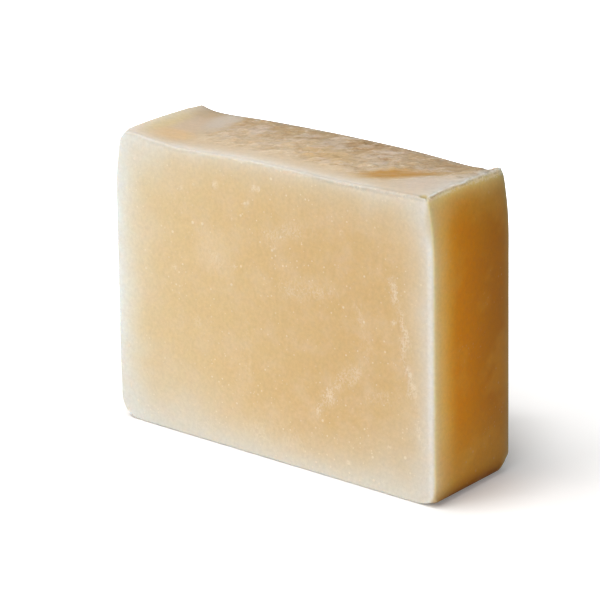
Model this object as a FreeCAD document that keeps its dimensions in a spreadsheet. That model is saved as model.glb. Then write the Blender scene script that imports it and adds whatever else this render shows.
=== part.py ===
# A hand-cut shampoo bar: one solid slice of a poured loaf, standing on the loaf's base.
#
# The slice was cut straight across the loaf, so its two large faces are flat cut faces. The
# mould formed its base and its ends: the left end is upright, the right end leans inwards, and
# both curl in at a shoulder below the top. The top is the open pour. It set with a raised rim
# at each end, a dip beside each rim that runs aslant through the slice, and a low crown in
# between.
#
# Millimetres, +Z up, X along the slice, Y through its thickness with the front cut face at -Y.
# The origin is the middle of the base.

import FreeCAD, Part
import math
import os
import Sketcher

NODE = "soap_bar"

SIZES = {
    # the slice
    "bar_length": 80.9,
    "bar_thickness": 25.0,
    # the level of the pour, from which its rims and crown rise and its dips fall
    "pour_height": 61.25,
    # the left end, whose shoulder lies a drop below the pour
    "left_corner_radius": 5.2,
    "left_shoulder_drop": 12.1,
    "left_shoulder_radius": 50.0,
    # the right end, with insets from the bar's full length at its base and at its shoulder, in
    # the front and rear profiles
    "right_corner_radius": 3.4,
    "right_shoulder_drop": 12.6,
    "right_shoulder_radius": 60.0,
    "front_right_base_inset": 1.1,
    "front_right_shoulder_inset": 2.4,
    "rear_right_base_inset": 0.0,
    "rear_right_shoulder_inset": 1.45,
    # the pour's front profile
    "front_left_rim_rise": 1.0,
    "front_left_dip_inset": 17.5,
    "front_left_dip_depth": 0.85,
    "front_crown_rise": 0.1,
    "front_right_dip_inset": 30.5,
    "front_right_dip_depth": 0.05,
    "front_right_rim_rise": 0.4,
    # the pour's middle profile
    "middle_left_rim_rise": 2.25,
    "middle_left_dip_inset": 10.8,
    "middle_left_dip_depth": 0.8,
    "middle_crown_rise": 1.05,
    "middle_right_dip_inset": 14.3,
    "middle_right_dip_depth": 0.6,
    "middle_right_rim_rise": 1.6,
    # the pour's rear profile
    "rear_left_rim_rise": 1.75,
    "rear_left_dip_inset": 3.2,
    "rear_left_dip_depth": 0.25,
    "rear_crown_rise": 0.85,
    "rear_right_dip_inset": 6.4,
    "rear_right_dip_depth": 1.2,
    "rear_right_rim_rise": 1.75,
    # all three profiles of the pour: how far in its rims stand, and how far past each dip the
    # crown begins
    "left_rim_inset": 1.55,
    "right_rim_inset": 3.0,
    "dip_to_crown": 11.3,
    # the worn edges
    "left_rim_radius": 1.4,
    "right_rim_radius": 1.3,
    "cut_edge_radius": 0.6,
    # how far the block and the cutting shapes reach past the finished slice
    "allowance": 3.0,
}

LEFT_END = "-sizes.bar_length / 2"
RIGHT_END = "sizes.bar_length / 2"
LEFT_SHOULDER = "sizes.pour_height - sizes.left_shoulder_drop"
RIGHT_SHOULDER = "sizes.pour_height - sizes.right_shoulder_drop"
BLOCK_TOP = "sizes.pour_height + sizes.allowance"
ABOVE_BLOCK = "sizes.pour_height + 2 * sizes.allowance"
PAST_BLOCK = "sizes.bar_length / 2 + 2 * sizes.allowance"

# How far in front of the middle of the thickness each profile lies. The front and rear ones
# stand clear of the cut faces, so what is cut between them runs right through the slice.
FORWARD = {
    "front": "sizes.bar_thickness / 2 + sizes.allowance",
    "middle": "0",
    "rear": "-sizes.bar_thickness / 2 - sizes.allowance",
}

START, END, CENTRE = 1, 2, 3  # the points of a sketch's line or arc, as the sketcher numbers them
ORIGIN = (-1, START)
CURVE_DEGREE = 3
SHOULDER_TURN = 15  # degrees that a shoulder's arc is first drawn with, before it meets the block
LEFT, RIGHT = -1, 1
FRONT, REAR = -1, 1
NEAR = 0.01


def make_sheet(doc):
    """The spreadsheet of sizes: plain numbers, each with an alias."""
    sheet = doc.addObject("Spreadsheet::Sheet", "sizes")
    for row, (name, value) in enumerate(SIZES.items(), start=1):
        sheet.set(f"A{row}", name)
        sheet.set(f"B{row}", str(value))
        sheet.setAlias(f"B{row}", name)
    doc.recompute()
    return sheet


class Profile:
    """A sketch parallel to the cut faces: its x is the bar's X and its y is the bar's Z.

    A place in it is a pair of expressions on the sheet, for X and for Z.
    """

    def __init__(self, body, name, forward):
        plane = next(o for o in body.Origin.OriginFeatures if o.Role == "XZ_Plane")
        self.sketch = body.newObject("Sketcher::SketchObject", name)
        self.sketch.AttachmentSupport = [(plane, "")]
        self.sketch.MapMode = "FlatFace"
        self.sketch.setExpression("AttachmentOffset.Base.z", forward)
        self.value = body.Document.sizes.evalExpression

    def point(self, place):
        """Where a place is with the sheet's present sizes."""
        return FreeCAD.Vector(self.value(place[0]), self.value(place[1]), 0)

    def bind(self, kind, geometry, expression):
        """Adds a dimension that follows the sheet."""
        dimension = Sketcher.Constraint(kind, *geometry, self.value(expression))
        index = self.sketch.addConstraint(dimension)
        self.sketch.setExpression(f"Constraints[{index}]", expression)

    def pin(self, geometry, end, place):
        """Holds one point of the sketch at a place."""
        self.bind("DistanceX", (*ORIGIN, geometry, end), place[0])
        self.bind("DistanceY", (*ORIGIN, geometry, end), place[1])

    def relate(self, kind, *geometry):
        """Adds a relation between lines or their ends, such as Coincident or Tangent."""
        self.sketch.addConstraint(Sketcher.Constraint(kind, *geometry))

    def lines(self, places):
        """Lines from place to place, held at every place between the first and the last."""
        points = [self.point(place) for place in places]
        lines = [
            self.sketch.addGeometry(Part.LineSegment(start, end))
            for start, end in zip(points, points[1:])
        ]
        for before, after, place in zip(lines, lines[1:], places[1:]):
            self.relate("Coincident", before, END, after, START)
            self.pin(after, START, place)
        return lines

    def arc(self, centre, radius, start_angle, end_angle):
        """An arc between two angles, in degrees, of which only the radius is held."""
        circle = Part.Circle(self.point(centre), FreeCAD.Vector(0, 0, 1), self.value(radius))
        angles = [math.radians(angle) for angle in (start_angle, end_angle)]
        arc = self.sketch.addGeometry(Part.ArcOfCircle(circle, *angles))
        self.bind("Radius", (arc,), radius)
        return arc

    def curve(self, places):
        """A smooth curve from the first place to the last, steered by those between."""
        spline = Part.BSplineCurve()
        spline.buildFromPoles([self.point(place) for place in places], False, CURVE_DEGREE)
        curve = self.sketch.addGeometry(spline)
        self.sketch.exposeInternalGeometry(curve)
        for pole, place in enumerate(places, start=curve + 1):
            self.pin(pole, CENTRE, place)
        return curve


def block_profile(body):
    """The base and left end that the mould gave the slice, with spare height and length."""
    profile = Profile(body, "block_profile", FORWARD["middle"])
    corner_radius = "sizes.left_corner_radius"
    corner_centre = (f"{LEFT_END} + {corner_radius}", corner_radius)
    corner = profile.arc(corner_centre, corner_radius, 180, 270)

    shoulder_radius = "sizes.left_shoulder_radius"
    shoulder_centre = (f"{LEFT_END} + {shoulder_radius}", LEFT_SHOULDER)
    shoulder = profile.arc(shoulder_centre, shoulder_radius, 180 - SHOULDER_TURN, 180)

    block_end = f"{RIGHT_END} + sizes.allowance"
    base, _, top = profile.lines(
        [(corner_centre[0], "0"), (block_end, "0"), (block_end, BLOCK_TOP), (LEFT_END, BLOCK_TOP)]
    )
    shoulder_place = (LEFT_END, LEFT_SHOULDER)
    (left,) = profile.lines([shoulder_place, (LEFT_END, corner_radius)])
    profile.pin(left, START, shoulder_place)
    profile.relate("Vertical", left)
    profile.relate("Horizontal", base)
    profile.relate("Horizontal", top)
    profile.relate("Tangent", shoulder, END, left, START)
    profile.relate("Tangent", left, END, corner, START)
    profile.relate("Tangent", corner, END, base, START)
    profile.relate("Coincident", top, END, shoulder, START)
    return profile.sketch


def right_end_profile(body, side):
    """The empty space outside the right end, just clear of one cut face."""
    profile = Profile(body, f"{side}_right_end", FORWARD[side])
    base_end = f"{RIGHT_END} - sizes.{side}_right_base_inset"
    shoulder_end = f"{RIGHT_END} - sizes.{side}_right_shoulder_inset"
    shoulder_place = (shoulder_end, RIGHT_SHOULDER)
    outline = profile.lines(
        [
            shoulder_place,
            (base_end, "0"),
            (base_end, "-sizes.allowance"),
            (PAST_BLOCK, "-sizes.allowance"),
            (PAST_BLOCK, ABOVE_BLOCK),
            (shoulder_end, ABOVE_BLOCK),
        ]
    )
    leaning, top = outline[0], outline[-1]

    shoulder_radius = "sizes.right_shoulder_radius"
    shoulder_centre = (f"{shoulder_end} - {shoulder_radius}", RIGHT_SHOULDER)
    shoulder = profile.arc(shoulder_centre, shoulder_radius, 0, SHOULDER_TURN)
    profile.pin(leaning, START, shoulder_place)
    profile.relate("Tangent", leaning, START, shoulder, START)
    profile.relate("Coincident", top, END, shoulder, END)
    profile.relate("Horizontal", top)
    return profile.sketch


def pour_profile(body, side):
    """The empty space above the pour, at one depth of the slice."""
    profile = Profile(body, f"{side}_pour", FORWARD[side])
    before_block = f"{LEFT_END} - sizes.allowance"
    left_rim = f"sizes.pour_height + sizes.{side}_left_rim_rise"
    left_dip = f"{LEFT_END} + sizes.{side}_left_dip_inset"
    crown = f"sizes.pour_height + sizes.{side}_crown_rise"
    right_dip = f"{RIGHT_END} - sizes.{side}_right_dip_inset"
    right_rim = f"sizes.pour_height + sizes.{side}_right_rim_rise"
    pour = profile.curve(
        [
            (before_block, left_rim),
            (f"{LEFT_END} + sizes.left_rim_inset", left_rim),
            (left_dip, f"sizes.pour_height - sizes.{side}_left_dip_depth"),
            (f"{left_dip} + sizes.dip_to_crown", crown),
            (f"{right_dip} - sizes.dip_to_crown", crown),
            (right_dip, f"sizes.pour_height - sizes.{side}_right_dip_depth"),
            (f"{RIGHT_END} - sizes.right_rim_inset", right_rim),
            (PAST_BLOCK, right_rim),
        ]
    )
    outline = profile.lines(
        [
            (before_block, left_rim),
            (before_block, ABOVE_BLOCK),
            (PAST_BLOCK, ABOVE_BLOCK),
            (PAST_BLOCK, right_rim),
        ]
    )
    profile.relate("Coincident", pour, START, outline[0], START)
    profile.relate("Coincident", pour, END, outline[-1], END)
    return profile.sketch


def cut_between(body, name, sketches, straight):
    """Cuts away all that lies between the sketches."""
    loft = body.newObject("PartDesign::SubtractiveLoft", name)
    loft.Profile = sketches[0]
    loft.Sections = sketches[1:]
    loft.Ruled = straight
    body.Document.recompute()


def ends_of(edge):
    """The two end points of an edge."""
    return edge.firstVertex().Point, edge.lastVertex().Point


def runs_through(edge):
    """Whether an edge runs from one cut face to the other."""
    start, end = ends_of(edge)
    return abs(start.y - end.y) > NEAR


def height(edge):
    """The height of an edge's higher end."""
    return max(point.z for point in ends_of(edge))


def through_edges(body, side):
    """The edges that run from cut face to cut face, left or right of the bar's middle."""
    edges = [edge for edge in body.Tip.Shape.Edges if runs_through(edge)]
    return [edge for edge in edges if side * ends_of(edge)[0].x > 0]


def outline(body, side):
    """The edges all round one cut face."""
    edges = [edge for edge in body.Tip.Shape.Edges if not runs_through(edge)]
    return [edge for edge in edges if side * ends_of(edge)[0].y > 0]


def round_edges(body, name, edges, radius):
    """Rounds edges of the body as it is so far."""
    base = body.Tip
    names = [
        f"Edge{number}"
        for number, edge in enumerate(base.Shape.Edges, start=1)
        if any(edge.isSame(chosen) for chosen in edges)
    ]
    fillet = body.newObject("PartDesign::Fillet", name)
    fillet.Base = (base, names)
    fillet.setExpression("Radius", radius)
    body.Document.recompute()


def round_rims_and_edges(body):
    """Rounds the right corner of the base, both rims, and last the outline of each cut face."""
    right_corner = min(through_edges(body, RIGHT), key=height)
    round_edges(body, "right_corner", [right_corner], "sizes.right_corner_radius")
    left_rim = max(through_edges(body, LEFT), key=height)
    round_edges(body, "left_rim", [left_rim], "sizes.left_rim_radius")
    right_rim = max(through_edges(body, RIGHT), key=height)
    round_edges(body, "right_rim", [right_rim], "sizes.right_rim_radius")
    round_edges(body, "front_outline", outline(body, FRONT), "sizes.cut_edge_radius")
    round_edges(body, "rear_outline", outline(body, REAR), "sizes.cut_edge_radius")


def build_soap_bar(doc):
    """The bar: a block cut across the loaf, given its right end, its pour and its worn edges."""
    body = doc.addObject("PartDesign::Body", NODE)
    body.Label = NODE
    body.Placement = FreeCAD.Placement()

    block = body.newObject("PartDesign::Pad", "block")
    block.Profile = block_profile(body)
    block.setExpression("Length", "sizes.bar_thickness")
    block.Midplane = True
    doc.recompute()

    right_end = [right_end_profile(body, side) for side in ("front", "rear")]
    cut_between(body, "right_end", right_end, straight=True)
    pour = [pour_profile(body, side) for side in ("front", "middle", "rear")]
    cut_between(body, "pour", pour, straight=False)
    round_rims_and_edges(body)
    return body


def check(doc, parts):
    """Stops where an object failed or a part has no sound solid."""
    failed = [o.Name for o in doc.Objects if {"Invalid", "Error"} & set(o.State)]
    if failed:
        raise RuntimeError(f"failed: {failed}")
    for part in parts:
        if part.Shape.isNull() or not part.Shape.isValid() or len(part.Shape.Solids) != 1:
            raise RuntimeError(f"{part.Label} is not one sound solid")


def write(part):
    """Writes one part to its STEP file and says how large it is."""
    part.Shape.exportStep(f"parts/{part.Label}.step")
    box = part.Shape.optimalBoundingBox()
    size = " x ".join(f"{length:.2f}" for length in (box.XLength, box.YLength, box.ZLength))
    print(f"{part.Label}: {size} mm, {part.Shape.Volume / 1000:.2f} cm3")


def main():
    doc = FreeCAD.newDocument("shampoo_bar")
    make_sheet(doc)
    parts = [build_soap_bar(doc)]
    doc.recompute()
    check(doc, parts)
    os.makedirs("parts", exist_ok=True)
    for part in parts:
        write(part)


main()
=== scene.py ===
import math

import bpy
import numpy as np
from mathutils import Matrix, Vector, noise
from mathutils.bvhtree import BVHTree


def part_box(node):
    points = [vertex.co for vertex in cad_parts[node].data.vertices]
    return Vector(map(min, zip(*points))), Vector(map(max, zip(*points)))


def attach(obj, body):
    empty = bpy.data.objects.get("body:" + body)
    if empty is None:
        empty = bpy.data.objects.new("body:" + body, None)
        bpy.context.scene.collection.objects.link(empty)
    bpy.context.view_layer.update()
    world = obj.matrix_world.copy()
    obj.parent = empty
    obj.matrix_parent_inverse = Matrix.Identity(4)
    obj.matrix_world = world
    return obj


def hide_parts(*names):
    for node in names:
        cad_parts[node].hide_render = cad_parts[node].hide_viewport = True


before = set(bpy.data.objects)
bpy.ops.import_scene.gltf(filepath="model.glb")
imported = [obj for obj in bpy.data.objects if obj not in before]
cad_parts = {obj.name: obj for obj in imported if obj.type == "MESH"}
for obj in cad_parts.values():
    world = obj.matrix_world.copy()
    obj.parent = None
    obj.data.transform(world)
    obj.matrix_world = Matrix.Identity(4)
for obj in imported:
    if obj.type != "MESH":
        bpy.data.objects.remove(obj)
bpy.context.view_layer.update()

# The looks of the shampoo bar. A fine closed mesh is laid over the CAD solid, worn and roughened
# as the real bar is, and painted in the soap's colours, with painted light and shade in places. The
# bar's and the camera's lengths are in millimetres in the frame's axes until they reach Blender,
# and the floor's and the lamps' are in metres. The soap's colours are 0 to 255 values in sRGB. Each
# cloud() has a seed of its own.

NODE = "soap_bar"
MM = 0.001
LOW, HIGH = (np.array(corner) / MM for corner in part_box(NODE))

LEFT, RIGHT, FRONT, REAR, BASE, TOP = range(6)  # the sides of the bar, as its box lists them
OUTWARD = np.array([(-1, 0, 0), (1, 0, 0), (0, -1, 0), (0, 1, 0), (0, 0, -1), (0, 0, 1)], float)

# ---------------------------------------------------------------------------------------------
# Shared helpers
# ---------------------------------------------------------------------------------------------


def cloud(places, size, seed, octaves=2):
    """Smooth random values, mostly between -1 and 1, in patches about as large as size."""
    start = Vector((17.3, 5.1, 9.7)) * seed
    scaled = np.asarray(places) / size
    return np.array([noise.fractal(Vector(p) + start, 1.0, 2.0, octaves) for p in scaled])


def rise(value, low, high):
    """A smooth step from 0 at low to 1 at high."""
    share = np.clip((value - low) / (high - low), 0, 1)
    return share * share * (3 - 2 * share)


def mix(first, second, share):
    """Colours moved from the first towards the second by a share at each point."""
    share = np.asarray(share, float)[..., None]
    return first * (1 - share) + np.asarray(second, float) * share


def spot(u, v, centre, reach, turn=0.0):
    """1 in the middle of an oval spot, falling smoothly to 0 at about its reach."""
    angle = math.radians(turn)
    along = (u - centre[0]) * math.cos(angle) + (v - centre[1]) * math.sin(angle)
    across = (v - centre[1]) * math.cos(angle) - (u - centre[0]) * math.sin(angle)
    return rise(-np.hypot(along / reach[0], across / reach[1]), -1.3, -0.4)


# ---------------------------------------------------------------------------------------------
# The surface
# ---------------------------------------------------------------------------------------------

EDGE_BAND = 4.0  # width of the strip along each edge where the grid turns the corner
EDGE_STEP = 0.25
FACE_STEPS = (0.52, 0.5, 0.56)  # along X, Y and Z
RIGHT_END_LEAN = 3.2  # about how far in the top of the right end stands
SMOOTHING_PASSES = 16
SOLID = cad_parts[NODE].data
SKIN = BVHTree.FromPolygons(
    [vertex.co / MM for vertex in SOLID.vertices], [polygon.vertices for polygon in SOLID.polygons]
)


def grid_lines(low, high, step):
    """Positions from low to high: close together near both ends and a step apart between."""
    near = np.linspace(0, EDGE_BAND, round(EDGE_BAND / EDGE_STEP) + 1)
    start, end = low + EDGE_BAND, high - EDGE_BAND
    middle = np.linspace(start, end, round((end - start) / step) + 1)
    return np.concatenate([low + near[:-1], middle, high - near[-2::-1]])


def box_shell(lines):
    """The points and quads of a closed box with these grid lines along its three axes."""
    outside = np.ones([len(line) for line in lines], bool)
    outside[1:-1, 1:-1, 1:-1] = False
    number = np.full(outside.shape, -1)
    number[outside] = np.arange(outside.sum())
    points = np.column_stack([line[i] for line, i in zip(lines, np.nonzero(outside))])
    sides = [number.take(end, axis) for axis in range(3) for end in (0, -1)]
    quads = []
    for side, layer in enumerate(sides):
        corners = [layer[:-1, :-1], layer[1:, :-1], layer[1:, 1:], layer[:-1, 1:]]
        if side in (LEFT, REAR, BASE):
            corners.reverse()
        quads.append(np.stack(corners, -1).reshape(-1, 4))
    return points, np.concatenate(quads), sides


def leaned(points):
    """The box's points with its right end leaned in roughly as the bar's is."""
    share_right = np.clip(points[:, 0] / HIGH[0], 0, 1)
    share_up = points[:, 2] / HIGH[2]
    moved = points.copy()
    moved[:, 0] -= RIGHT_END_LEAN * share_right * share_up**2
    return moved


def core_of(points):
    """The points, held inside the bar by the width of an edge band."""
    return leaned(np.clip(points, LOW + EDGE_BAND, HIGH - EDGE_BAND))


def reaches(starts, directions):
    """How far it is from each start, inside the solid, to its skin."""
    pairs = zip(starts, directions)
    return np.array([SKIN.ray_cast(Vector(start), Vector(way))[3] for start, way in pairs])


def averaged(depths, open_rows, axis):
    """Depths moved towards their neighbours along one axis of a grid, where rows are open."""
    depths = np.moveaxis(depths, axis, 0)
    mean = depths.copy()
    mean[1:-1] = (depths[:-2] + 2 * depths[1:-1] + depths[2:]) / 4
    return np.moveaxis(np.where(open_rows[:, None], mean, depths), 0, axis)


def lay_over_solid(shell, sides, lines):
    """The shell's points, each carried straight out of the bar's core to the CAD solid's skin.

    The distances are averaged with their neighbours, which takes out the solid's small facets.
    """
    core = core_of(shell)
    outward = leaned(shell) - core
    outward /= np.linalg.norm(outward, axis=1, keepdims=True)
    depths = reaches(core, outward)
    open_rows = [
        (line > low + EDGE_BAND) & (line < high - EDGE_BAND)
        for line, low, high in zip(lines, LOW, HIGH)
    ]
    for side, layer in enumerate(sides):
        rows = [open_rows[axis] for axis in range(3) if axis != side // 2]
        for _ in range(SMOOTHING_PASSES):
            for axis in (0, 1):
                depths[layer] = averaged(depths[layer], rows[axis], axis)
    return core + outward * depths[:, None]


def edge_distances(points):
    """How far each point lies from each side of the bar, straight across."""
    distances = {}
    for side, outward in enumerate(OUTWARD):
        axis = side // 2
        starts = core_of(points)
        starts[:, axis] = (LOW[axis] + HIGH[axis]) / 2
        skin = starts[:, axis] + outward[axis] * reaches(starts, [outward] * len(starts))
        distances[side] = np.maximum(outward[axis] * (skin - points[:, axis]), 0)
    return distances


def normals_of(points, quads):
    """The outward direction at each point."""
    across = points[quads[:, 2]] - points[quads[:, 0]]
    along = points[quads[:, 3]] - points[quads[:, 1]]
    facing = np.cross(across, along)
    total = np.zeros_like(points)
    for corner in range(4):
        np.add.at(total, quads[:, corner], facing)
    return total / np.linalg.norm(total, axis=1, keepdims=True)


def shares_of(normals):
    """How much of each side's paint a point takes: all of one side's, or a blend at an edge."""
    facing = np.clip(normals @ OUTWARD.T, 0, 1) ** 3
    return facing / facing.sum(axis=1, keepdims=True)


# ---------------------------------------------------------------------------------------------
# Wear
# ---------------------------------------------------------------------------------------------

WAVINESS = 0.06  # of the cut faces
LUMP_HEIGHT = 0.3  # of the lumps that the stirred pour set with
GRAIN_HEIGHT = 0.3  # of the finer grain on them
EDGE_CRUMBLE = 0.22  # along the top's front and right edges
CREST_HEIGHT = 0.1
GROOVE_DEPTH = 0.08
PIT_DEPTH = 0.12  # under chalky crumbs
LEFT_FOOT_WEAR = 0.9
REAR_NICK = ((34.0, 12.0), (1.3, 3.0))  # in the top's rear edge: its middle and reach
REAR_NICK_DEPTH = 0.5
FRONT_CHIP = ((35.2, -11.8), (1.0, 0.8))  # in the top's front edge, near the right end
FRONT_CHIP_DEPTH = 0.3
SCUFF_WANDER = 1.2  # how far a scuff strays from its path

# Corners that are worn away: the direction each one's slope faces and how deep it goes
WORN_CORNERS = [
    ((0.22, 0.76, -0.6), 1.9),  # the base's rear right
    ((-0.7, -0.35, 0.62), 0.5),  # the top's front left
    ((0.32, -0.38, -0.87), 0.6),  # the base's front right
]

# Flecks of chalky soap, each over a small pit in the front face: X, Z, radius and strength
FLECKS = [
    (-4.6, 56.2, 0.6, 1.0),
    (-3.4, 56.3, 0.5, 1.0),
    (-6.4, 52.8, 0.7, 0.9),
    (-14.2, 55.1, 0.8, 0.7),
    (-19.5, 54.4, 0.5, 0.6),
    (-23.0, 52.9, 0.5, 0.6),
    (-25.0, 35.8, 0.6, 0.8),
    (-19.2, 25.5, 1.2, 0.35),
    (4.4, 36.4, 0.5, 0.8),
    (29.2, 35.8, 0.6, 0.8),
    (28.5, 10.0, 0.45, 0.9),
    (18.8, 4.3, 0.45, 0.9),
    (-9.3, 39.2, 0.6, 0.6),
    (0.4, 44.9, 0.5, 0.5),
    (16.6, 51.4, 0.5, 0.5),
]

# Scuffs that left chalky crumbs on the front face: width, strength and the places they pass
SCUFFS = [
    (1.0, 1.0, [(28.2, 44.1), (30.4, 38.6), (32.0, 31.9), (32.9, 25.9), (35.3, 17.6), (36.6, 12)]),
    (1.5, 0.9, [(11.4, 13.1), (15.2, 19.2), (16.9, 20.9), (21.2, 24.3)]),
    (1.2, 0.6, [(21.2, 37.1), (22.3, 31.0), (23.9, 27.1)]),
    (1.6, 0.35, [(-6.4, 28.2), (-6.4, 13.7)]),
    (0.6, 0.8, [(-33.8, 11.7), (-31.4, 11.4)]),
    (3.4, 0.45, [(-4.0, 5.0), (6.0, 4.2)]),
    (3.6, 0.4, [(-15.5, 43.0), (-13.5, 39.0)]),
    (2.2, 0.4, [(3.0, 37.0), (14.0, 38.5)]),
    (2.2, 0.4, [(-2.0, 47.0), (9.0, 50.0)]),
    (3.0, 0.4, [(-24.0, 7.0), (-15.0, 4.0)]),
    (1.6, 0.4, [(24.0, 19.0), (31.0, 21.0)]),
]


def distance_to_path(x, z, places):
    """How far each point is from a line drawn through places."""
    nearest = np.full(len(x), np.inf)
    for (x0, z0), (x1, z1) in zip(places, places[1:]):
        length = math.hypot(x1 - x0, z1 - z0)
        along = ((x - x0) * (x1 - x0) + (z - z0) * (z1 - z0)) / length**2
        along = np.clip(along, 0, 1)
        away = np.hypot(x - x0 - along * (x1 - x0), z - z0 - along * (z1 - z0))
        nearest = np.minimum(nearest, away)
    return nearest


def chalk(points, edges, shares):
    """Where chalky crumbs lie, 0 to 1: on the front's marks and the top's front and right edges."""
    x, _, z = points.T
    patchy = rise(cloud(points, 3.5, 31), -0.5, 0.5)
    scuffed = np.zeros(len(points))
    for width, strength, places in SCUFFS:
        away = distance_to_path(x + SCUFF_WANDER * cloud(points, 4.0, 32), z, places) / width
        scuffed = np.maximum(scuffed, strength * (0.35 + 0.65 * patchy) * (1 - rise(away, 0, 1.6)))
    flecked = np.zeros(len(points))
    for fleck_x, fleck_z, radius, strength in FLECKS:
        away = np.hypot(x - fleck_x, z - fleck_z) / radius
        flecked = np.maximum(flecked, strength * (1 - rise(away, 0.5, 1.5)))
    amount = np.maximum(scuffed, flecked) * shares[:, FRONT]
    front_edge = np.maximum(edges[FRONT], edges[TOP] - 0.8)
    front_edge = (0.1 + 0.3 * rise(x, -5, 15)) * patchy * (1 - rise(front_edge, 0.2, 1.0))
    right_edge = np.maximum(edges[RIGHT], edges[TOP])
    right_edge = (0.7 + 0.3 * patchy) * (1 - rise(right_edge, 0.5, 1.4))
    return np.maximum.reduce([amount, front_edge, right_edge])


ORANGE_PATCH = ((22.0, -2.0), (8.6, 3.1), 43)  # of the top: its middle, reach and turn
SMOOTH_CORNER = ((31.0, -5.5), (8.0, 7.5))  # of the top, at its front right
STROKE_TURN = math.radians(38)  # of the stirring strokes, from the bar's length
LUMP = (6.0, 2.2)  # size of the lumps, along and across the strokes
CRUMB = (1.7, 0.9)  # size of the crumbs on them
SWIRL = (2.0, 1.4)  # how far the strokes stray, along and across


def lumps(x, y):
    """The stirred pour: lumps drawn out in the strokes' direction, between about -1 and 1."""
    place = np.column_stack([x, y, np.zeros_like(x)])
    along = x * math.cos(STROKE_TURN) + y * math.sin(STROKE_TURN)
    across = y * math.cos(STROKE_TURN) - x * math.sin(STROKE_TURN)
    along = along + SWIRL[0] * cloud(place, 7.0, 11)
    across = across + SWIRL[1] * cloud(place, 7.0, 12)
    stretched = np.column_stack([along / LUMP[0], across / LUMP[1], 0 * x])
    crumbly = np.column_stack([along / CRUMB[0], across / CRUMB[1], 0 * x])
    return np.clip(1.1 * cloud(stretched, 1.0, 13, 2) + 0.8 * cloud(crumbly, 1.0, 14), -1, 1)


def roughness_of_top(x, y):
    """How much of the stirred relief shows: little on the left bank and near the front."""
    rough = rise(y, -9.0, -4.0) * rise(x, -28, -21)
    smooth_corner = spot(x, y, *SMOOTH_CORNER)
    smooth_patch = spot(x, y, *ORANGE_PATCH)
    return 0.12 + 0.88 * rough * (1 - 0.85 * smooth_corner) * (1 - 0.8 * smooth_patch)


def along_right_edge(points, edges, middle, reach):
    """A broken line along the top's right edge, its middle about that far in from the edge."""
    near = (1 - rise(edges[TOP], 0.6, 1.2)) * rise(edges[FRONT], 0.4, 2.0)
    middle = middle + 0.25 * cloud(points, 1.8, 25)
    broken = 0.45 + 0.55 * rise(cloud(points, 1.1, 26), -0.35, 0.15)
    return near * broken * (1 - rise(np.abs(edges[RIGHT] - edges[TOP] - middle), 0.1, reach))


def crest_of(points, edges):
    """The white ridge that crumbled up along the top's right edge when the bar was cut."""
    return along_right_edge(points, edges, 1.0, 0.4)


def groove_of(points, edges):
    """The fine groove between that ridge and the right end, dark with painted shade."""
    return along_right_edge(points, edges, 0.5, 0.35)


def relief(points, edges, shares, chalky):
    """The height of the wear at each point."""
    x, y, z = points.T
    cut_face = shares[:, FRONT] + shares[:, REAR]
    height = -WAVINESS * cut_face * (1 + cloud(points * (1, 3, 1), 13.0, 21))
    top = shares[:, TOP] * rise(np.minimum(edges[FRONT], edges[REAR]), 0.3, 2.0)
    grain = np.maximum(cloud(points, 1.3, 22, 3), -0.1)
    height += top * roughness_of_top(x, y) * (LUMP_HEIGHT * lumps(x, y) + GRAIN_HEIGHT * grain)
    top_edge = np.maximum(np.minimum(edges[FRONT], edges[RIGHT]), edges[TOP])
    height -= EDGE_CRUMBLE * (1 - rise(top_edge, 0.4, 1.3)) * rise(cloud(points, 0.9, 23), 0, 0.7)
    height += CREST_HEIGHT * crest_of(points, edges) - GROOVE_DEPTH * groove_of(points, edges)
    height -= PIT_DEPTH * chalky
    height -= LEFT_FOOT_WEAR * shares[:, LEFT] * rise(z, 1, 5) * (1 - rise(z, 7, 13))
    height -= REAR_NICK_DEPTH * shares[:, TOP] * spot(x, y, *REAR_NICK)
    height -= FRONT_CHIP_DEPTH * shares[:, TOP] * spot(x, y, *FRONT_CHIP)
    return height


# Where the real edges are sharper or rounder than the solid's: the two sides that meet, and how
# far the edge's middle moves out
EDGE_SHAPES = [(RIGHT, BASE, 0.5), (LEFT, TOP, -0.7)]


def with_shaped_edges(points, normals):
    """The points with some edges moved out to be sharper, or in to be rounder."""
    moved = points.copy()
    for first, second, shift in EDGE_SHAPES:
        first_share = np.clip(normals @ OUTWARD[first], 0, 1)
        second_share = np.clip(normals @ OUTWARD[second], 0, 1)
        middle = (2 * first_share * second_share) ** 2
        moved += shift * middle[:, None] * (OUTWARD[first] + OUTWARD[second]) / math.sqrt(2)
    return moved


def with_worn_corners(points):
    """The points with the worn corners cut back to their slopes."""
    uneven = 0.25 * cloud(points, 3.0, 24)
    for slope, depth in WORN_CORNERS:
        slope = np.array(slope) / math.hypot(*slope)
        reach = points @ slope
        past = reach - reach.max() + depth + uneven
        points = points - (np.maximum(past, 0) * rise(past, -0.3, 0.6))[:, None] * slope
    return points


# ---------------------------------------------------------------------------------------------
# Paint
# ---------------------------------------------------------------------------------------------

# Where the soap is pale along its edges: partly from drying, partly painted glow of light coming
# through the soap near them
LEFT_RIM = (231, 235, 233)
RIGHT_RIM = (221, 217, 210)
BASE_RIM = (215, 210, 198)
TOP_RIM = (218, 215, 206)
# a painted highlight, where the front's rounded right edge catches the light
EDGE_HIGHLIGHT = (236, 234, 228)

# The cut faces
TAN_LEFT = (221, 196, 150)
TAN_RIGHT = (212, 181, 131)
PALE_CLOUD = (225, 203, 170)
DULL_CORNER = (208, 194, 164)
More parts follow.
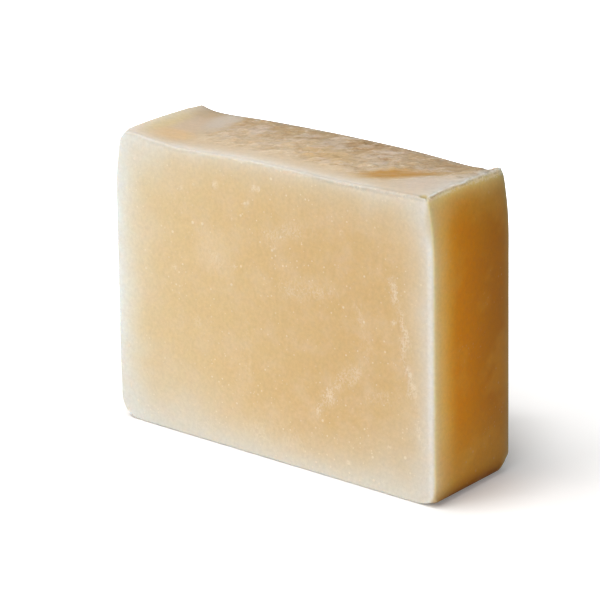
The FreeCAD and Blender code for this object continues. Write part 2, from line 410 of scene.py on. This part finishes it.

# The top, with the ridge and the groove along its right edge; the groove and the rear edge are
# darkened with painted shade
TOP_REAR = (180, 155, 122)
TOP_FRONT = (207, 184, 153)
ORANGE = (187, 143, 84)
FRONT_BANK = (221, 211, 197)
TOP_FRONT_EDGE = (224, 219, 211)
TOP_REAR_EDGE_SHADE = (160, 149, 136)
TOP_LEFT_EDGE = (230, 229, 226)
TOP_RIGHT_EDGE = (201, 197, 188)
CHIPPED = (184, 164, 104)
CRUMBLED = (242, 239, 232)
# painted shade in the groove
GROOVE_SHADE = (150, 132, 108)

# The right end: amber soap, made deeper with painted shade as the side turned from the lamps
AMBER = (228, 142, 14)
# darker towards the rear: painted shade
AMBER_SHADED_REAR = (184, 116, 26)
# paler towards the front: painted glow of light coming through the soap from the lit front face
AMBER_LIT_FRONT = (246, 190, 72)
AMBER_FOOT = (214, 160, 80)
AMBER_CLOUD = (234, 178, 84)
# its pale front and top edges: partly drying of the soap, partly painted glow
AMBER_FRONT_EDGE = (240, 228, 188)
AMBER_TOP_EDGE = (226, 214, 154)
# its dark rear and base edges: painted shade
AMBER_REAR_EDGE_SHADE = (152, 130, 100)
AMBER_BASE_EDGE_SHADE = (112, 58, 4)

# The left end and the base
MOULDED = (220, 178, 116)
MOULDED_PALE = (228, 194, 144)
LEFT_TOP_EDGE = (232, 232, 230)
UNDERSIDE = (219, 184, 134)
RUBBED = (226, 208, 180)
# darker amber under the right edge: the right end's painted shade carried round onto the base
AMBER_UNDER_SHADE = (168, 108, 36)


def rim_share(distance, reach, power):
    """How strongly a rim's colour shows at a distance from an edge: 1 at it, then less."""
    return np.exp(-np.power(np.maximum(distance, 0) / reach, power))


def rimmed(colour, rims):
    """A colour moved towards rim colours, paler or darker. Rims are pairs of a colour and its
    share.
    """
    total = sum(pale for _, pale in rims) + 1e-6
    rim = sum(np.asarray(tint, float) * pale[:, None] for tint, pale in rims) / total[:, None]
    return mix(colour, rim, 1 - np.prod([1 - pale for _, pale in rims], axis=0))


def front_paint(x, z, edges):
    """The front cut face: tan, pale along its rims from drying and painted glow, with a dull upper
    right corner.
    """
    place = np.column_stack([x, np.zeros_like(x), z])
    wander = 1 + 0.22 * cloud(place, 8.0, 1, 3)
    base_reach = 6.2 + 4.0 * rise(-x, 5, 22) + 4.5 * rise(x, 15, 30)
    top_reach = 3.0 + 2.5 * rise(-x, 22, 32) + 1.5 * rise(x, 15, 28)
    colour = mix(TAN_LEFT, TAN_RIGHT, rise(x, -34, 24))
    colour = mix(colour, PALE_CLOUD, 0.5 * spot(x, z, (-15.0, 41.0), (5.0, 5.0)))
    colour = rimmed(colour, [
        (LEFT_RIM, rim_share(edges[LEFT] * wander, 5.8, 1.4)),
        (RIGHT_RIM, rim_share(edges[RIGHT] * wander, 4.5, 1.6)),
        (BASE_RIM, rim_share(edges[BASE] * wander, base_reach, 1.6)),
        (TOP_RIM, rim_share(edges[TOP] * wander, top_reach, 0.95)),
    ])
    # painted highlight down the front's right edge
    colour = mix(colour, EDGE_HIGHLIGHT, 0.4 * (1 - rise(np.abs(edges[RIGHT] - 1.0), 0.2, 0.9)))
    return mix(colour, DULL_CORNER, 0.7 * spot(x, z, (37.4, 58.0), (1.6, 5.0)))


# Patches on the top: X, Y, reach along and across, turn in degrees, strength and colour
TOP_PATCHES = [
    (-31.0, 1.0, 4.0, 9.0, 0, 0.7, (207, 184, 160)),
    (-35.4, -1.0, 2.6, 9.5, 6, 0.9, (211, 188, 140)),  # yellow bank beside the left rim
    (-29.5, -6.5, 5.0, 3.6, 0, 0.9, (216, 183, 140)),
    (-27.5, 7.0, 3.4, 8.0, 10, 0.9, (200, 186, 170)),
    (-21.0, 8.5, 3.0, 5.0, 0, 0.6, (186, 160, 126)),
    (-16.5, 4.5, 1.6, 4.5, 15, 0.8, (212, 194, 176)),
    (-11.0, 9.0, 5.0, 4.5, 0, 0.6, (180, 154, 118)),
    (-4.0, 11.0, 3.5, 2.5, 0, 0.7, (166, 140, 102)),
    (0.5, 6.5, 2.4, 5.0, 5, 0.7, (200, 182, 162)),
    (8.0, 8.0, 3.6, 5.5, 0, 0.9, (178, 147, 108)),
    (9.0, 11.0, 5.0, 2.5, 0, 0.7, (162, 134, 98)),
    (5.0, -2.0, 7.0, 4.0, -10, 0.7, (199, 168, 124)),
    (14.5, 5.0, 4.0, 6.5, 0, 0.5, (196, 174, 152)),
    (24.5, 4.8, 2.8, 2.2, 30, 0.7, (198, 184, 166)),
    (27.0, 8.0, 7.0, 5.0, 0, 0.7, (178, 153, 120)),
    (27.5, 2.5, 4.0, 2.5, 20, 0.6, (178, 148, 106)),
    (31.0, -4.5, 7.5, 7.0, 0, 0.9, (209, 192, 174)),
]


def top_paint(x, y, edges):
    """The top: brown towards the rear and pale towards the front, in patches and mottles."""
    colour = mix(TOP_REAR, TOP_FRONT, 1 - rise(y, -6, 13))
    for patch_x, patch_y, along, across, turn, strength, tint in TOP_PATCHES:
        share = strength * spot(x, y, (patch_x, patch_y), (along, across), turn)
        colour = mix(colour, tint, share)
    colour = mix(colour, ORANGE, spot(x, y, *ORANGE_PATCH))
    # the lumps painted a little lighter on their highs and darker in their lows: painted light and
    # shade
    shade = 1 + 0.045 * lumps(x, y) * roughness_of_top(x, y)
    colour = colour * shade[:, None]
    # painted shade along the rear edge, which curves away from the lamps
    colour = mix(colour, TOP_REAR_EDGE_SHADE, rim_share(edges[REAR], 1.2, 2.0))
    bright = 1 - 0.65 * rise(x, 20, 28)
    inner = 0.3 + 0.7 * rise(x, -29, -23)
    colour = rimmed(colour, [
        (FRONT_BANK, 0.85 * inner * bright * rim_share(edges[FRONT], 3.4, 2.0)),
        (TOP_FRONT_EDGE, bright * rim_share(edges[FRONT], 1.3, 1.5)),
        (TOP_LEFT_EDGE, rim_share(edges[LEFT], 3.2, 1.5)),
        (TOP_RIGHT_EDGE, (1 - 0.5 * rise(y, 5, 11)) * rim_share(edges[RIGHT], 3.2, 2.0)),
    ])
    return mix(colour, CHIPPED, 0.8 * spot(x, y, *FRONT_CHIP))


def right_paint(y, z, edges):
    """The right end: amber, pale along its front and top edges and dark along the other two."""
    place = np.column_stack([0 * y, y, z])
    wander = 1 + 0.25 * cloud(place, 9.0, 8, 3)
    # painted shade darkening towards the rear, and painted glow towards the front
    colour = mix(AMBER, AMBER_SHADED_REAR, rise(y, -5, 11))
    colour = mix(colour, AMBER_LIT_FRONT, 1 - rise(y, -10.5, -4.0))
    colour = mix(colour, AMBER_FOOT, 0.6 * (1 - rise(z, 4, 20)))
    colour = mix(colour, AMBER_CLOUD, 0.25 * rise(cloud(place, 6.0, 9, 3), 0.0, 0.7))
    # the pale rims partly painted glow, the dark rear and base rims painted shade
    return rimmed(colour, [
        (AMBER_FRONT_EDGE, rim_share(edges[FRONT] * wander, 2.8, 1.1)),
        (AMBER_TOP_EDGE, rim_share(edges[TOP] * wander, 3.8, 1.1)),
        (AMBER_REAR_EDGE_SHADE, rim_share(edges[REAR], 1.6, 1.2)),
        (AMBER_BASE_EDGE_SHADE, rim_share(edges[BASE], 2.2, 2.0)),
    ])


def left_paint(y, z, edges):
    """The left end: smooth as the mould left it, with pale edges."""
    place = np.column_stack([0 * y, y, z])
    wander = 1 + 0.35 * cloud(place, 7.0, 3, 3)
    colour = mix(MOULDED, MOULDED_PALE, rise(cloud(place, 9.0, 4, 3), -0.4, 0.5))
    return rimmed(colour, [
        (LEFT_RIM, rim_share(np.minimum(edges[FRONT], edges[REAR]) * wander, 3.6, 1.1)),
        (LEFT_TOP_EDGE, rim_share(edges[TOP] * wander, 3.2, 1.2)),
        (BASE_RIM, rim_share(edges[BASE] * wander, 3.2, 1.1)),
    ])


def rear_paint(x, z, edges):
    """The rear cut face: as the front, but with rims of even reach and a patchier tan."""
    place = np.column_stack([x, np.zeros_like(x), z])
    wander = 1 + 0.3 * cloud(place, 11.0, 5, 3)
    colour = mix(TAN_RIGHT, TAN_LEFT, rise(cloud(place, 16.0, 6), -0.5, 0.5))
    return rimmed(colour, [
        (LEFT_RIM, rim_share(edges[LEFT] * wander, 5.0, 1.4)),
        (RIGHT_RIM, rim_share(edges[RIGHT] * wander, 5.0, 1.4)),
        (BASE_RIM, rim_share(edges[BASE] * wander, 7.0, 1.6)),
        (TOP_RIM, rim_share(edges[TOP] * wander, 4.0, 1.1)),
    ])


def base_paint(x, y, edges):
    """The base: pale in rubbed patches and along its rims, and amber along its right edge."""
    rim = np.minimum.reduce([edges[side] for side in (LEFT, RIGHT, FRONT, REAR)])
    place = np.column_stack([x, y, np.zeros_like(x)])
    rubbed = 0.6 * rise(cloud(place, 7.0, 7, 3), 0.0, 0.6)
    wander = 1 + 0.3 * cloud(place, 8.0, 10, 3)
    colour = mix(UNDERSIDE, RUBBED, rubbed)
    colour = rimmed(colour, [(BASE_RIM, rim_share(rim * wander, 2.8, 1.2))])
    # darker amber along the right edge: the right end's painted shade carried round onto the base
    amber = rim_share(edges[RIGHT], 2.2, 2.0) * rise(edges[FRONT], 0.6, 2.5)
    return mix(colour, AMBER_UNDER_SHADE, amber)


def paint(points, edges, shares):
    """The soap's colour at each point.

    The sides' paints blend at the edges. The ridge and the groove, dark with painted shade, lie
    over them, and the top's front edge is a little darker with painted shade that dims its
    highlight.
    """
    x, y, z = points.T
    layers = {
        LEFT: left_paint(y, z, edges),
        RIGHT: right_paint(y, z, edges),
        FRONT: front_paint(x, z, edges),
        REAR: rear_paint(x, z, edges),
        BASE: base_paint(x, y, edges),
        TOP: top_paint(x, y, edges),
    }
    colour = sum(layers[side] * shares[:, side, None] for side in layers)
    colour = mix(colour, CRUMBLED, 0.85 * crest_of(points, edges))
    # painted shade in the groove
    colour = mix(colour, GROOVE_SHADE, 0.25 * groove_of(points, edges))
    # painted shade along the top's front edge, dimming the highlight that the lamps put on its
    # rounding
    front_edge = (1 - rise(edges[TOP], 0.5, 1.2)) * (1 - rise(edges[FRONT], 0.4, 1.4))
    darker = (0.075 + 0.03 * rise(x, -5, 15)) * front_edge
    return colour * (1 - darker)[:, None]


def linear(colour):
    """An sRGB colour of 0 to 255 as the renderer's linear values."""
    share = np.asarray(colour, float) / 255
    return np.where(share <= 0.04045, share / 12.92, ((share + 0.055) / 1.055) ** 2.4)


# ---------------------------------------------------------------------------------------------
# Materials
# ---------------------------------------------------------------------------------------------


class Graph:
    """The nodes of a material or world, added one by one.

    A node's inputs may be other nodes' outputs or plain values.
    """

    def __init__(self, owner):
        owner.use_nodes = True
        self.tree = owner.node_tree
        self.tree.nodes.clear()

    def node(self, kind, inputs=None, **settings):
        """A new node of a kind, with its settings made and its inputs joined or filled in."""
        node = self.tree.nodes.new("ShaderNode" + kind)
        for name, value in settings.items():
            setattr(node, name, value)
        for name, value in (inputs or {}).items():
            if isinstance(value, bpy.types.NodeSocket):
                self.tree.links.new(value, node.inputs[name])
            else:
                node.inputs[name].default_value = value
        return node

    def math(self, operation, *values):
        """A calculation with numbers."""
        return self.node("Math", dict(enumerate(values)), operation=operation).outputs[0]

    def vector(self, operation, first, second):
        """A calculation with two vectors whose result is a vector."""
        return self.node("VectorMath", {0: first, 1: second}, operation=operation).outputs[0]

    def measure(self, operation, first, second=(0, 0, 0)):
        """A calculation with vectors whose result is one number."""
        node = self.node("VectorMath", {0: first, 1: second}, operation=operation)
        return node.outputs["Value"]

    def turned(self, place, axis, angle):
        """Places turned about an axis by an angle in radians."""
        inputs = {"Vector": place, "Angle": angle}
        return self.node("VectorRotate", inputs, rotation_type=axis + "_AXIS").outputs[0]

    def step(self, value, low, high, to_low=0.0, to_high=1.0):
        """A smooth step of a value, between two results."""
        inputs = {"Value": value, 1: low, 2: high, 3: to_low, 4: to_high}
        return self.node("MapRange", inputs, interpolation_type="SMOOTHSTEP").outputs[0]

    def noise(self, place, scale, detail=3.0, roughness=0.5):
        """Smooth random values between 0 and 1, finer where the scale is larger."""
        inputs = {"Vector": place, "Scale": scale, "Detail": detail, "Roughness": roughness}
        return self.node("TexNoise", inputs).outputs[0]

    def blend(self, share, first, second, kind="MIX"):
        """The first colour moved by a share towards the second, or mixed with it in another way."""
        inputs = {0: share, 1: first, 2: second}
        return self.node("MixRGB", inputs, blend_type=kind).outputs[0]

    def shade(self, colour, strength):
        """A colour made darker or lighter."""
        grey = self.node("CombineColor", {0: strength, 1: strength, 2: strength}).outputs[0]
        return self.blend(1.0, colour, grey, "MULTIPLY")

    def specks(self, place, scale, fewest, largest):
        """Round specks, one or none in each cell of a random pattern: 0 around them, 1 inside."""
        cells = self.node("TexVoronoi", {"Vector": place, "Scale": scale})
        chosen = self.node("SeparateColor", {0: cells.outputs["Color"]}).outputs[0]
        size = self.step(chosen, fewest, 1.0, -0.05, largest)
        inside = self.math("SUBTRACT", size, cells.outputs["Distance"])
        return self.step(inside, -0.02, 0.06)

    def attribute(self, name):
        """One of the numbers that the mesh holds at each point."""
        return self.node("Attribute", attribute_name=name).outputs["Fac"]


def opaque(colour):
    """An sRGB colour as a node's input takes it."""
    return (*linear(colour), 1.0)


# The soap's colours where it is clouded, veined or chalky, and the brown in its hollows, partly
# painted shade
CLOUDED = (226, 206, 182)
VEINED = (214, 198, 182)
HOLLOW = (160, 124, 82)
CHALKY = (240, 226, 204)
DRAG_TURN = math.radians(-12)  # of the cutter's drag lines, from the bar's length
DRAG_HEIGHT = 0.04
SPECK_HEIGHT = 0.07


def soap_material():
    """Waxy soap: the painted colour with finer detail, light scattered inside, and fine relief."""
    material = bpy.data.materials.new("soap")
    graph = Graph(material)
    place = graph.node("TexCoord").outputs["Object"]
    place = graph.node("VectorMath", {0: place, 3: 1 / MM}, operation="SCALE").outputs[0]
    colour = graph.node("VertexColor", layer_name="paint").outputs["Color"]
    cut = graph.attribute("cut")
    rough = graph.attribute("rough")
    chalky = graph.attribute("chalk")

    # clouds in the cut faces, pale veins and brown hollows in the stirred top, and fine mottling
    # all over; the hollows' brown, where the relief is low, is partly painted shade
    clouds = graph.step(graph.noise(place, 0.16, 4.0, 0.6), 0.4, 0.75, 0.0, 0.3)
    clouds = graph.math("MULTIPLY", clouds, graph.step(cut, 0.5, 1.0))
    colour = graph.blend(clouds, colour, opaque(CLOUDED))
    along_strokes = graph.turned(place, "Z", -STROKE_TURN)
    along_strokes = graph.vector("MULTIPLY", along_strokes, (0.3, 1.0, 1.0))
    strokes = graph.noise(along_strokes, 1.1, 5.0, 0.65)
    vein = graph.step(graph.noise(along_strokes, 0.34, 3.0, 0.6), 0.5, 0.64, 0.0, 0.45)
    colour = graph.blend(graph.math("MULTIPLY", vein, rough), colour, opaque(VEINED))
    # the soap's brown with painted shade, where the strokes' relief is low
    hollow = graph.math("MULTIPLY", graph.step(strokes, 0.5, 0.3, 0.0, 0.5), rough)
    colour = graph.blend(hollow, colour, opaque(HOLLOW))
    mottled = graph.noise(place, 1.3, 5.0, 0.65)
    spread = graph.math("MULTIPLY_ADD", rough, 0.15, 0.31)
    shade = graph.math("MULTIPLY_ADD", graph.math("SUBTRACT", mottled, 0.5), spread, 1.0)
    colour = graph.shade(colour, shade)

    # pale specks: a few clear ones and many faint ones in drifts, crumbs and smears where it is
    # chalky, and flakes on the stirred top
    drift = graph.step(graph.noise(place, 0.12, 3.0, 0.6), 0.42, 0.62, 0.15, 1.0)
    few = graph.math("MULTIPLY", graph.specks(place, 0.4, 0.4, 0.15), 0.6)
    many = graph.math("MULTIPLY", graph.specks(place, 1.1, 0.1, 0.24), 0.65)
    speck = graph.math("MAXIMUM", few, graph.math("MULTIPLY", many, drift))
    crumbs = graph.noise(place, 2.4, 3.0, 0.65)
    crumb = graph.step(graph.math("MULTIPLY_ADD", chalky, 0.3, crumbs), 0.64, 0.82)
    crumb = graph.math("MULTIPLY", crumb, graph.step(chalky, 0.0, 0.5, 0.0, 0.65))
    drawn = graph.noise(graph.vector("MULTIPLY", place, (1.0, 1.0, 0.5)), 1.0, 4.0, 0.6)
    wisps = graph.math("ABSOLUTE", graph.math("SUBTRACT", drawn, 0.5))
    smear = graph.math("MULTIPLY", chalky, graph.step(wisps, 0.0, 0.05, 0.8, 0.12))
    crumb = graph.math("MAXIMUM", crumb, smear)
    speck = graph.math("MAXIMUM", graph.math("MULTIPLY", speck, cut), crumb)
    flake = graph.math("MULTIPLY", graph.step(strokes, 0.55, 0.75), rough)
    speck = graph.math("MAXIMUM", speck, graph.math("MULTIPLY", flake, 0.7))
    colour = graph.blend(speck, colour, opaque(CHALKY))

    # relief: drag lines that the cutter left, grain, and the crumbs that stand up
    along_drag = graph.turned(place, "Y", DRAG_TURN)
    along_drag = graph.vector("MULTIPLY", along_drag, (0.12, 1.0, 1.5))
    drag = graph.math("MULTIPLY", graph.noise(along_drag, 1.0, 3.0, 0.6), cut)
    grain = graph.math("MULTIPLY", crumbs, graph.math("MULTIPLY_ADD", rough, 0.1, 0.02))
    grain = graph.math("MULTIPLY_ADD", graph.math("MULTIPLY", strokes, rough), 0.5, grain)
    height = graph.math("MULTIPLY_ADD", drag, DRAG_HEIGHT, grain)
    height = graph.math("MULTIPLY_ADD", speck, SPECK_HEIGHT, height)
    bump = graph.node("Bump", {"Height": height, "Distance": MM, "Strength": 1.0}).outputs[0]

    principled = graph.node("BsdfPrincipled", {
        "Base Color": colour,
        "Roughness": graph.step(mottled, 0.3, 0.7, 0.48, 0.62),
        "Normal": bump,
        "Subsurface Weight": 1.0,
        "Subsurface Radius": (1.0, 0.78, 0.6),
        "Subsurface Scale": graph.attribute("glow"),
        "Specular IOR Level": 0.1,
    })
    graph.node("OutputMaterial", {"Surface": principled.outputs[0]})
    return material


# ---------------------------------------------------------------------------------------------
# Making the bar
# ---------------------------------------------------------------------------------------------

GLOW = 1.6  # how far light spreads inside the soap
RIGHT_END_GLOW = 8.0  # and inside the amber soap at the right end


def make_bar():
    """The bar's one visible piece: the shell, laid over the solid, painted and worn.

    Its fields tell the material how far light spreads, where it is cut or rough, and where chalky.
    """
    lines = [grid_lines(*span) for span in zip(LOW, HIGH, FACE_STEPS)]
    shell, quads, sides = box_shell(lines)
    points = lay_over_solid(shell, sides, lines)
    normals = normals_of(points, quads)
    shares = shares_of(normals)
    edges = edge_distances(points)
    chalky = chalk(points, edges, shares)
    colours = linear(paint(points, edges, shares))
    amber = shares[:, RIGHT] * rise(edges[FRONT], 0, 6)
    rough = shares[:, TOP] * roughness_of_top(points[:, 0], points[:, 1])
    fields = {
        "glow": (GLOW * (1 - 0.6 * rough) + (RIGHT_END_GLOW - GLOW) * amber) * MM,
        "cut": shares[:, FRONT] + shares[:, REAR] + 0.15 * shares[:, RIGHT],
        "rough": rough,
        "chalk": chalky,
    }
    points = points + normals * relief(points, edges, shares, chalky)[:, None]
    points = np.clip(with_worn_corners(with_shaped_edges(points, normals)), LOW, HIGH)

    mesh = bpy.data.meshes.new("bar_surface")
    mesh.from_pydata((points * MM).tolist(), [], quads.tolist())
    mesh.polygons.foreach_set("use_smooth", np.ones(len(quads), bool))
    layer = mesh.color_attributes.new("paint", "FLOAT_COLOR", "POINT")
    layer.data.foreach_set("color", np.column_stack([colours, np.ones(len(colours))]).ravel())
    for name, values in fields.items():
        mesh.attributes.new(name, "FLOAT", "POINT").data.foreach_set("value", values)
    mesh.materials.append(soap_material())
    bar = bpy.data.objects.new("bar_surface", mesh)
    bpy.context.scene.collection.objects.link(bar)
    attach(bar, "root")
    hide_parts(NODE)


# ---------------------------------------------------------------------------------------------
# Floor, light and camera
# ---------------------------------------------------------------------------------------------

# The camera, as it was worked out from the photograph
AZIMUTH = math.radians(37.42)  # from straight in front of the bar towards its right end
ELEVATION = math.radians(19.39)
SIGHT = (-2.12, -0.68, 30.41)  # where it looks
DISTANCE = 509.1  # from there
FOCAL_LENGTH = 152.16
SENSOR_WIDTH = 36
CLIP_END = 10  # in metres

# Each lamp: its bearing in degrees, from the camera's left (0) round to the camera (90), its
# height in degrees and its power in watts
LAMPS = {
    "key": (0, 65, 3.6),
    "overhead": (0, 88, 1.4),
    "front_left": (33, 33, 2.45),
    "front_high": (60, 65, 1.6),
    "fill": (90, 25, 1.65),
}
LAMP_AIM = (0, 0, 0.03)
LAMP_DISTANCE = 0.9
LAMP_SIZE = 0.4
WORLD_LIGHT = 0.02
FLOOR_REACH = 3.0  # from its middle to each side
FLOOR_DROP = 0.02 * MM  # below the bar's base
FLOOR_COLOUR = (0.92, 0.91, 0.9, 1.0)  # in linear values

# Where the shadow's core ends, from the middle of the floor, and how fast the floor grows white
# beyond it: towards the right and rear, and towards the left and front
REAR_REACH = (0.04, 0.029, 0.0)
REAR_RISE = (1.5, 1.5, 0.0)
FRONT_REACH = (0.04, 0.0125, 0.0)
FRONT_RISE = (2.5, 3.0, 0.0)

# The core's right side runs aslant behind the bar: a place is past it where its product with the
# slant is more than the edge
SHADOW_SLANT = (1.0, 0.57, 0.0)
SHADOW_EDGE = 0.038

# The glow is weakest in the core: a painted shadow, laid over the shadow that the lamps cast
CORE_GLOW = 0.12
RIM_GLOW = 0.33
RIM_WIDTH = 0.024  # over which the glow rises from the core's to the rim's
WHITE_AT = 0.14  # how far from the core the floor is quite white


def add_floor():
    """A white floor that shows the bar's shadow and runs out into the white background.

    Its glow, which only the camera sees, grows with the distance from the shadow's core. Held low
    round the bar, it paints part of the shadow there, over the shadow that the lamps cast.
    """
    plane = bpy.data.meshes.new("floor")
    ends = ((-1, -1), (1, -1), (1, 1), (-1, 1))
    corners = [(x * FLOOR_REACH, y * FLOOR_REACH, -FLOOR_DROP) for x, y in ends]
    plane.from_pydata(corners, [], [(0, 1, 2, 3)])
    floor = bpy.data.objects.new("floor", plane)
    bpy.context.scene.collection.objects.link(floor)
    material = bpy.data.materials.new("floor")
    graph = Graph(material)
    place = graph.node("TexCoord").outputs["Object"]
    turned = graph.vector("MULTIPLY", place, (-1, -1, 0))
    rear = graph.vector("MULTIPLY", graph.vector("SUBTRACT", place, REAR_REACH), REAR_RISE)
    front = graph.vector("MULTIPLY", graph.vector("SUBTRACT", turned, FRONT_REACH), FRONT_RISE)
    beyond = graph.vector("MAXIMUM", graph.vector("MAXIMUM", rear, front), (0, 0, 0))
    aslant = graph.math("SUBTRACT", graph.measure("DOT_PRODUCT", place, SHADOW_SLANT), SHADOW_EDGE)
    away = graph.math("MAXIMUM", graph.measure("LENGTH", beyond), aslant)
    near = graph.step(away, 0, RIM_WIDTH, CORE_GLOW, RIM_GLOW)
    glow = graph.math("ADD", near, graph.step(away, RIM_WIDTH, WHITE_AT))
    seen = graph.node("LightPath").outputs["Is Camera Ray"]
    strength = graph.math("MULTIPLY", glow, seen)
    diffuse = graph.node("BsdfDiffuse", {"Color": FLOOR_COLOUR}).outputs[0]
    white = graph.node("Emission", {"Strength": strength}).outputs[0]
    surface = graph.node("AddShader", {0: diffuse, 1: white}).outputs[0]
    graph.node("OutputMaterial", {"Surface": surface})
    plane.materials.append(material)


def add_lamp(name, bearing, height, power):
    """A round lamp that faces the bar, from a bearing and a height in degrees."""
    turn, lift = AZIMUTH + math.pi + math.radians(bearing), math.radians(height)
    toward = Vector((
        math.cos(turn) * math.cos(lift), math.sin(turn) * math.cos(lift), math.sin(lift)
    ))
    light = bpy.data.lights.new(name, "AREA")
    light.shape = "DISK"
    light.size = LAMP_SIZE
    light.energy = power
    lamp = bpy.data.objects.new(name, light)
    lamp.location = Vector(LAMP_AIM) + toward * LAMP_DISTANCE
    lamp.rotation_euler = toward.to_track_quat("Z", "Y").to_euler()
    bpy.context.scene.collection.objects.link(lamp)


def add_world():
    """White where the camera sees past the floor, and hardly any light of its own."""
    world = bpy.data.worlds.new("studio")
    bpy.context.scene.world = world
    graph = Graph(world)
    seen = graph.node("LightPath").outputs["Is Camera Ray"]
    strength = graph.step(seen, 0.0, 1.0, WORLD_LIGHT, 1.0)
    white = graph.node("Background", {"Color": (1, 1, 1, 1), "Strength": strength}).outputs[0]
    graph.node("OutputWorld", {"Surface": white})


def add_camera():
    """The photograph's view of the bar."""
    camera = bpy.data.cameras.new("camera")
    camera.lens = FOCAL_LENGTH
    camera.sensor_width = SENSOR_WIDTH
    camera.clip_end = CLIP_END
    viewer = bpy.data.objects.new("camera", camera)
    viewer.rotation_euler = (math.pi / 2 - ELEVATION, 0, AZIMUTH)
    back = Vector((
        math.sin(AZIMUTH) * math.cos(ELEVATION),
        -math.cos(AZIMUTH) * math.cos(ELEVATION),
        math.sin(ELEVATION),
    ))
    viewer.location = (Vector(SIGHT) + DISTANCE * back) * MM
    bpy.context.scene.collection.objects.link(viewer)
    bpy.context.scene.camera = viewer


make_bar()
add_floor()
for lamp_name, (bearing, height, power) in LAMPS.items():
    add_lamp(lamp_name, bearing, height, power)
add_world()
add_camera()
bpy.context.scene.view_settings.view_transform = "Standard"
